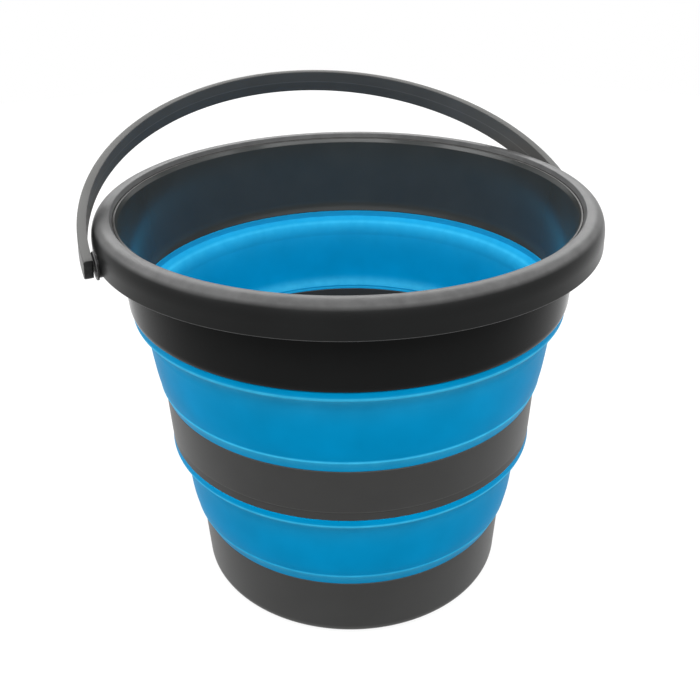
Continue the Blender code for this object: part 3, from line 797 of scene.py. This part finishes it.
# %% Turn the pegs
PEG_RADIUS = 3.0
PEG_TIP = 149.0
PEG_TIP_RADIUS = 2.4
PEG_ROOT = 165.4
BARB_RADIUS = 3.8
BARB_BACK = LUG_INNER - GAP

for side, label in ((-1, "left"), (1, "right")):
    turned("peg_" + label, [
        (0.0, PEG_TIP, 0.0),
        (PEG_TIP_RADIUS, PEG_TIP, 0.3),
        (BARB_RADIUS, BARB_BACK, 0.2),
        (PEG_RADIUS, BARB_BACK, 0.0),
        (PEG_RADIUS, PEG_ROOT, 0.0),
        (0.0, PEG_ROOT, 0.0),
    ], "handle", "handle_plastic", "bail_handle", side)

# %% [markdown]
# ## Small helpers for node trees
# A finish is a small graph of nodes. The helper below adds one node, sets its plain values and
# links the sockets that are handed to it, so that each finish reads from top to bottom.

# %% Add nodes by name


def put(tree, kind, values=(), **settings):
    """One node with its settings, and its inputs set to numbers or linked to sockets."""
    node = tree.nodes.new(kind)
    for name, value in settings.items():
        setattr(node, name, value)
    for name, value in dict(values).items():
        if isinstance(value, bpy.types.NodeSocket):
            tree.links.new(value, node.inputs[name])
        else:
            node.inputs[name].default_value = value
    return node


def new_group(name, inputs, outputs):
    """An empty node group with named number inputs and outputs."""
    group = bpy.data.node_groups.new(name, "ShaderNodeTree")
    for label, value in inputs.items():
        socket = group.interface.new_socket(label, in_out="INPUT", socket_type="NodeSocketFloat")
        socket.default_value = value
    for label in outputs:
        group.interface.new_socket(label, in_out="OUTPUT", socket_type="NodeSocketFloat")
    given = group.nodes.new("NodeGroupInput")
    result = group.nodes.new("NodeGroupOutput")
    return group, given, result


# %% [markdown]
# ## The skin of a moulding
# A satin moulding copies the fine spark-eroded grain of its mould. Slow variation lies under it,
# where the plastic cooled sooner or later, and shows as a faint change of tone and gloss. Both
# are noise read in the object's own coordinates, at scales in metres: the grain is well under a
# millimetre and the slow variation a few centimetres.

# %% Build the moulded skin group


def moulded_skin_group():
    """Height is grain times depth plus slow waviness, and tone is slow noise about one half."""
    group, given, result = new_group(
        "moulded_skin",
        {"Grain Per Metre": 2600.0, "Grain Depth": 0.5, "Waviness": 0.3},
        ["Height", "Tone"],
    )
    place = put(group, "ShaderNodeTexCoord").outputs["Object"]
    grain = put(group, "ShaderNodeTexNoise", {
        "Vector": place, "Scale": given.outputs["Grain Per Metre"], "Detail": 3.0, "Roughness": 0.6,
    })
    slow = put(group, "ShaderNodeTexNoise", {
        "Vector": place, "Scale": 34.0, "Detail": 2.0, "Roughness": 0.5,
    })
    fine = put(group, "ShaderNodeMath", {
        0: grain.outputs["Fac"], 1: given.outputs["Grain Depth"],
    }, operation="MULTIPLY")
    waves = put(group, "ShaderNodeMath", {
        0: slow.outputs["Fac"], 1: given.outputs["Waviness"], 2: fine.outputs[0],
    }, operation="MULTIPLY_ADD")
    group.links.new(waves.outputs[0], result.inputs["Height"])
    group.links.new(slow.outputs["Fac"], result.inputs["Tone"])
    return group


moulded_skin = moulded_skin_group()
print(moulded_skin.name, "has", len(moulded_skin.nodes), "nodes")

# %% [markdown]
# ## Hair scratches, rubbed edges and painted light
# Stacking and wiping leave hair scratches that mostly run round the bucket, so the noise behind
# them is squeezed in height and stretched round. Rims and strap edges are rubbed by hands and
# turn a little paler and smoother there, and carry painted edge highlights too. The attribute that
# each mesh carries says where, and also holds the painted highlights and painted light of the
# folds, the rim's top, the middle ring's step and the strap's ridge. Noise breaks it up, because
# no hand polishes evenly.

# %% Build the group for wear and painted light


def wear_and_painted_light_group():
    """Scratches are the peaks of stretched noise, and polish is the rub value times noise."""
    group, given, result = new_group(
        "wear_and_painted_light",
        {"Scratches": 0.4, "Polish And Painted Light": 0.5},
        ["Scratches", "Polish And Painted Light"],
    )
    place = put(group, "ShaderNodeTexCoord").outputs["Object"]
    stretched = put(group, "ShaderNodeMapping", {"Vector": place, "Scale": (1.0, 1.0, 16.0)})
    lines = put(group, "ShaderNodeTexNoise", {
        "Vector": stretched.outputs[0], "Scale": 150.0, "Detail": 5.0, "Roughness": 0.75,
    })
    peaks = put(group, "ShaderNodeMapRange", {
        "Value": lines.outputs["Fac"], "From Min": 0.63, "From Max": 0.72,
    })
    scratches = put(group, "ShaderNodeMath", {
        0: peaks.outputs["Result"], 1: given.outputs["Scratches"],
    }, operation="MULTIPLY")
    blotches = put(group, "ShaderNodeTexNoise", {"Vector": place, "Scale": 140.0, "Detail": 4.0})
    uneven = put(group, "ShaderNodeMapRange", {
        "Value": blotches.outputs["Fac"], "To Min": 0.3, "To Max": 0.7,
    })
    # This attribute holds edge wear and painted light, so this output is partly painted highlight.
    wear_and_light_value = put(group, "ShaderNodeAttribute", attribute_name="rub_and_painted_light")
    patchy = put(group, "ShaderNodeMath", {
        0: wear_and_light_value.outputs["Fac"], 1: uneven.outputs["Result"],
    }, operation="MULTIPLY")
    polish = put(group, "ShaderNodeMath", {
        0: patchy.outputs[0], 1: given.outputs["Polish And Painted Light"],
    }, operation="MULTIPLY")
    group.links.new(scratches.outputs[0], result.inputs["Scratches"])
    group.links.new(polish.outputs[0], result.inputs["Polish And Painted Light"])
    return group


wear_and_painted_light = wear_and_painted_light_group()
print(wear_and_painted_light.name, "has", len(wear_and_painted_light.nodes), "nodes")

# %% [markdown]
# ## One recipe for every moulding
# The mouldings differ in colour, gloss and grain, and not in kind, so one recipe makes them all.
# Its colour is mixed between a darker and a paler tone of the same plastic by the slow noise,
# and wear and painted light pale it further. Roughness rises with scratches and falls with polish.
# The gloss that is the same all over is set on the shader itself.

# %% Mix a moulding's finish
TONE_SPREAD = 0.16
ROUGHNESS_SPREAD = 0.03
SCRATCH_ROUGHNESS = 0.25


def shades(colour, spread):
    """The same colour darkened and lightened by a share of itself."""
    return [tuple(value * (1.0 + change) for value in colour) + (1.0,) for change in (-spread, spread)]


def moulding(
    name, colour, pale_colour_for_wear_and_light, roughness, gloss, skin_values, wear_values, bump,
    tint=(1.0, 1.0, 1.0),
):
    """A Principled plastic whose colour, roughness and bump come from the two groups.

    Roughness is two numbers, for places that polish reaches and for the open surface. The skin
    values are grain per metre, grain depth and waviness, and the wear values are scratches and
    the strength of polish and painted light. The pale colour is mixed in by wear and painted
    light. The bump is given as the depth in metres of a height of one. The tint colours the
    mirror image that is seen straight on, and leaves it white at a flat angle.
    """
    made = bpy.data.materials.new(name)
    made.use_nodes = True
    tree = made.node_tree
    shader = tree.nodes["Principled BSDF"]
    skin = put(tree, "ShaderNodeGroup", node_tree=moulded_skin)
    for label, value in zip(("Grain Per Metre", "Grain Depth", "Waviness"), skin_values):
        skin.inputs[label].default_value = value
    wear = put(tree, "ShaderNodeGroup", node_tree=wear_and_painted_light)
    for label, value in zip(("Scratches", "Polish And Painted Light"), wear_values):
        wear.inputs[label].default_value = value
    dark, light = shades(colour, TONE_SPREAD)
    tone = put(tree, "ShaderNodeMix", data_type="RGBA")
    tree.links.new(skin.outputs["Tone"], tone.inputs["Factor"])
    tone.inputs["A"].default_value = dark
    tone.inputs["B"].default_value = light
    wear_and_light_share = put(tree, "ShaderNodeMath", {
        0: wear.outputs["Scratches"], 1: wear.outputs["Polish And Painted Light"],
    }, operation="ADD", use_clamp=True)
    coloured = put(tree, "ShaderNodeMix", data_type="RGBA")
    tree.links.new(wear_and_light_share.outputs[0], coloured.inputs["Factor"])
    tree.links.new(tone.outputs["Result"], coloured.inputs["A"])
    # The pale colour serves wear and painted highlights alike.
    coloured.inputs["B"].default_value = (*pale_colour_for_wear_and_light, 1.0)
    tree.links.new(coloured.outputs["Result"], shader.inputs["Base Color"])
    uneven = put(tree, "ShaderNodeMapRange", {
        "Value": skin.outputs["Tone"],
        "To Min": roughness[1] - ROUGHNESS_SPREAD,
        "To Max": roughness[1] + ROUGHNESS_SPREAD,
    })
    smoothed = put(tree, "ShaderNodeMix", {
        "Factor": wear.outputs["Polish And Painted Light"], "A": uneven.outputs["Result"], "B": roughness[0],
    }, data_type="FLOAT")
    scratched = put(tree, "ShaderNodeMath", {
        0: wear.outputs["Scratches"], 1: SCRATCH_ROUGHNESS, 2: smoothed.outputs["Result"],
    }, operation="MULTIPLY_ADD", use_clamp=True)
    tree.links.new(scratched.outputs[0], shader.inputs["Roughness"])
    relief = put(tree, "ShaderNodeBump", {
        "Height": skin.outputs["Height"], "Strength": 1.0, "Distance": bump,
    })
    tree.links.new(relief.outputs["Normal"], shader.inputs["Normal"])
    shader.inputs["Specular IOR Level"].default_value = gloss
    shader.inputs["Specular Tint"].default_value = (*tint, 1.0)
    return made


# %% [markdown]
# ## The finishes
# Five dark finishes and one blue rubber. The base and the middle ring are satin grey, and the
# strap is a paler grey. The ring of the mouth is glossy and nearly black outside, a little paler
# on its lip as wear and a painted edge highlight, and hazed inside, where it is painted paler as
# painted light and mirrors the blue softly. The rim is satin black and painted paler on top, as
# painted top light. The rubber has a fine grain, few scratches and hardly any gloss, because a
# white floor mirrored at a flat angle would veil its blue, so its bright lines are the painted
# highlights marked above.

# %% Make the finishes and give each piece its own
# Its pale colour is edge wear and the painted highlight on the middle ring's step.
satin_grey = moulding(
    "satin_grey_plastic", (0.032, 0.032, 0.0312), (0.090, 0.090, 0.088), (0.28, 0.38), 0.14,
    (2400.0, 0.6, 0.5), (0.25, 0.80), 0.00006,
)
# Its pale colour is edge wear with a painted edge highlight, and the ridge's painted highlight.
strap_grey = moulding(
    "strap_grey_plastic", (0.091, 0.091, 0.089), (0.170, 0.170, 0.167), (0.24, 0.34), 0.04,
    (2200.0, 0.6, 0.4), (0.20, 1.20), 0.00006,
)
# Its pale colour is lip wear with a painted edge highlight.
mouth_black = moulding(
    "glossy_black_plastic", (0.0075, 0.0078, 0.0078), (0.065, 0.064, 0.062), (0.22, 0.15), 0.04,
    (3200.0, 0.25, 0.6), (0.05, 1.40), 0.00003,
)
# Painted light: the inside is a paler copy of the same black plastic.
mouth_inside = moulding(
    "hazed_black_plastic_painted_paler", (0.028, 0.030, 0.029), (0.050, 0.050, 0.050), (0.13, 0.18), 0.36,
    (2800.0, 0.4, 0.6), (0.20, 0.20), 0.00003,
)
# Its pale colour is the painted top light and the edge wear.
rim_black = moulding(
    "satin_black_plastic", (0.0070, 0.0073, 0.0073), (0.078, 0.078, 0.078), (0.38, 0.29), 0.10,
    (2600.0, 0.5, 0.5), (0.10, 1.50), 0.00005,
)
# Its pale colour is the painted highlight of the folds.
band_blue = moulding(
    "soft_blue_rubber", (0.0, 0.220, 0.455), (0.050, 0.460, 0.720), (0.30, 0.38), 0.012,
    (3000.0, 0.5, 0.4), (0.03, 1.70), 0.00004, tint=(0.02, 0.90, 1.00),
)

FINISHES = {
    "base_plastic": satin_grey,
    "ring_plastic": mouth_black,
    "rim_plastic": rim_black,
    "handle_plastic": strap_grey,
    "band_rubber": band_blue,
}
for name, slot in SLOTS.items():
    piece = bpy.data.objects[name]
    finish = FINISHES[slot]
    piece.data.materials.clear()
    piece.data.materials.append(finish)
    print(name, "gets", finish.name)

# %% [markdown]
# ## A second finish on some faces
# The mouth is one moulding, glossy outside and hazed inside, where its paler colour is painted
# light, and the strap's ends that face down get the black finish as painted shade. A mesh can
# carry two materials, with a number on each face that says which. The faces are chosen by where
# they lie and how they face.

# %% Give the mouth's inside and the strap's ends their own finish


def face_values(piece, name):
    """The centres or the normals of a piece's faces, as rows of three."""
    values = np.empty(len(piece.data.polygons) * 3, dtype=np.float32)
    piece.data.polygons.foreach_get(name, values)
    return values.reshape(-1, 3)


def second_finish(piece, finish, chosen):
    """Give the chosen faces of a piece another finish."""
    piece.data.materials.append(finish)
    piece.data.polygons.foreach_set("material_index", chosen.astype(np.int32))
    print(piece.name, "faces in", finish.name, int(chosen.sum()))


# The mouth's inner faces lie nearer the axis than a line just within its wall, and the hazed
# finish, painted paler as painted light, stops below the rounded top of the lip.
JUST_WITHIN = 0.5
LIP_MARGIN = 1.0
LIP_TOP_DEPTH = 0.8
centres = face_values(mouth, "center") / MM
radius, height = np.hypot(centres[:, 0], centres[:, 1]), centres[:, 2]
down_the_wall = (WALL_TOP - height) / (WALL_TOP - ROLL_TOP)
inner_line = WALL_TOP_RADIUS + JUST_WITHIN - (WALL_TOP_RADIUS - WALL_FOOT_RADIUS) * down_the_wall
inner_line = inner_line + LIP_MARGIN * (height > WALL_TOP)
second_finish(mouth, mouth_inside, (radius < inner_line) & (height < LIP_TOP - LIP_TOP_DEPTH))

# A cut end faces down along the strap's tail, and lies out beyond the strap's inner face.
END_FACING = 0.6
END_MARGIN_INWARD = 1.0
down_the_tail = np.array([0.0, -math.sin(LEAN), -math.cos(LEAN)])
faces_down = face_values(handle, "normal") @ down_the_tail > END_FACING
far_out = np.abs(face_values(handle, "center")[:, 0]) > (INNER_END - END_MARGIN_INWARD) * MM
# Painted shade: the ends that face down get the black finish.
second_finish(handle, rim_black, faces_down & far_out)

# %% [markdown]
# ## A plain studio
# The bucket stands on a pale sweep. A large soft light hangs over it, two stand high on its left
# and right, one high in front, and a long strip low behind it draws the rim's far edge. The
# floor and the world add their own white for rays from the camera and from mirrors, because the
# background is white, and stay weaker as light. The rest of the floor's white is real light,
# which keeps a soft shadow under the bucket.

# %% Lay the floor and set the world
WORLD_LIGHT = 0.30
FLOOR_LIT = 0.14
FLOOR_LIT_SPREAD = 0.01
FLOOR_OWN = 0.84
FLOOR_BOUNCE = 0.62
FLOOR_RADIUS = 1.6
FLOOR_SIDES = 96
FLOOR_DROP = 0.0002


def seen_or_mirrored(tree):
    """A socket that is one for rays from the camera, off gloss and through glass, and else zero."""
    path = put(tree, "ShaderNodeLightPath")
    seen = put(tree, "ShaderNodeMath", {
        0: path.outputs["Is Camera Ray"], 1: path.outputs["Is Glossy Ray"],
    }, operation="MAXIMUM")
    seen = put(tree, "ShaderNodeMath", {
        0: seen.outputs[0], 1: path.outputs["Is Transmission Ray"],
    }, operation="MAXIMUM")
    return seen.outputs[0]


def pale_world():
    """White where it is seen straight or in a mirror, and a plain pale grey as light."""
    world = bpy.data.worlds.new("pale_studio")
    world.use_nodes = True
    tree = world.node_tree
    background = tree.nodes["Background"]
    strength = put(tree, "ShaderNodeMapRange", {
        "Value": seen_or_mirrored(tree), "To Min": WORLD_LIGHT, "To Max": 1.0,
    })
    tree.links.new(strength.outputs["Result"], background.inputs["Strength"])
    background.inputs["Color"].default_value = (1.0, 1.0, 1.0, 1.0)
    bpy.context.scene.world = world


def pale_floor():
    """A wide disc whose white is part its own and part real light."""
    angle = np.linspace(0.0, math.tau, FLOOR_SIDES, endpoint=False)
    edge = np.column_stack([np.cos(angle), np.sin(angle)]) * FLOOR_RADIUS
    points = np.column_stack([edge, np.full(FLOOR_SIDES, -FLOOR_DROP)])
    mesh = bpy.data.meshes.new("floor")
    mesh.from_pydata(points.tolist(), [], [list(range(FLOOR_SIDES))])
    floor = bpy.data.objects.new("floor", mesh)
    bpy.context.scene.collection.objects.link(floor)
    paper = bpy.data.materials.new("pale_sweep")
    paper.use_nodes = True
    tree = paper.node_tree
    tree.nodes.remove(tree.nodes["Principled BSDF"])
    lit = put(tree, "ShaderNodeBsdfDiffuse")
    fibres = put(tree, "ShaderNodeTexNoise", {"Scale": 220.0, "Detail": 4.0})
    shade_of_paper = put(tree, "ShaderNodeMapRange", {
        "Value": fibres.outputs["Fac"],
        "To Min": FLOOR_LIT - FLOOR_LIT_SPREAD,
        "To Max": FLOOR_LIT + FLOOR_LIT_SPREAD,
    })
    tree.links.new(shade_of_paper.outputs["Result"], lit.inputs["Color"])
    own = put(tree, "ShaderNodeMapRange", {
        "Value": seen_or_mirrored(tree), "To Min": FLOOR_BOUNCE, "To Max": FLOOR_OWN,
    })
    glow = put(tree, "ShaderNodeEmission", {"Strength": own.outputs["Result"]})
    both = put(tree, "ShaderNodeAddShader", {0: lit.outputs[0], 1: glow.outputs[0]})
    tree.links.new(both.outputs[0], tree.nodes["Material Output"].inputs["Surface"])
    floor.data.materials.append(paper)


pale_world()
pale_floor()
print("world light", WORLD_LIGHT, "and floor's own white", FLOOR_OWN)

# %% Hang the lights


def soft_light(name, place, aim, size, watts):
    """A rectangular soft light at a place, facing an aim."""
    light = bpy.data.lights.new(name, "AREA")
    light.shape = "RECTANGLE"
    light.size, light.size_y = size
    light.energy = watts
    lamp = bpy.data.objects.new(name, light)
    bpy.context.scene.collection.objects.link(lamp)
    lamp.matrix_world = Matrix.Translation(place) @ (
        (place - aim).to_track_quat("Z", "Y").to_matrix().to_4x4()
    )
    print(name, "radiance", round(watts / (math.pi * size[0] * size[1]), 2))


def seen_from_camera(right, back, up):
    """A place given by how far it lies right of, behind and above the bucket, for the camera."""
    return Vector((
        right * math.cos(CAMERA_TURN) + back * math.sin(CAMERA_TURN),
        -right * math.sin(CAMERA_TURN) + back * math.cos(CAMERA_TURN),
        up,
    ))


MIDDLE = Vector((0.0, 0.0, 0.14))
DOME_FOOT = 0.15
DOME_RADIUS = 1.8
OVERHEAD_PLACE = seen_from_camera(0.0, 0.10, 1.75)
OVERHEAD_AIM = seen_from_camera(0.0, 0.10, 0.0)


def on_dome(round_to_right, up_angle):
    """A place on a dome over the bucket, by angle round from the camera and angle up."""
    turn, lift = math.radians(round_to_right), math.radians(up_angle)
    level, rise = DOME_RADIUS * math.cos(lift), DOME_RADIUS * math.sin(lift)
    return seen_from_camera(level * math.sin(turn), -level * math.cos(turn), DOME_FOOT + rise)


soft_light("overhead", OVERHEAD_PLACE, OVERHEAD_AIM, (1.6, 3.9), 35.0)
soft_light("front_high", on_dome(12.0, 50.0), MIDDLE, (2.2, 0.9), 27.0)
soft_light("right_side", on_dome(95.0, 45.0), MIDDLE, (1.5, 1.1), 13.0)
soft_light("left_side", on_dome(-85.0, 43.0), MIDDLE, (1.6, 1.2), 25.0)
soft_light("back_strip", on_dome(180.0, 36.0), MIDDLE, (2.4, 0.8), 30.0)

# %% View settings and the end
bpy.context.scene.view_settings.view_transform = "Standard"
bpy.context.view_layer.update()
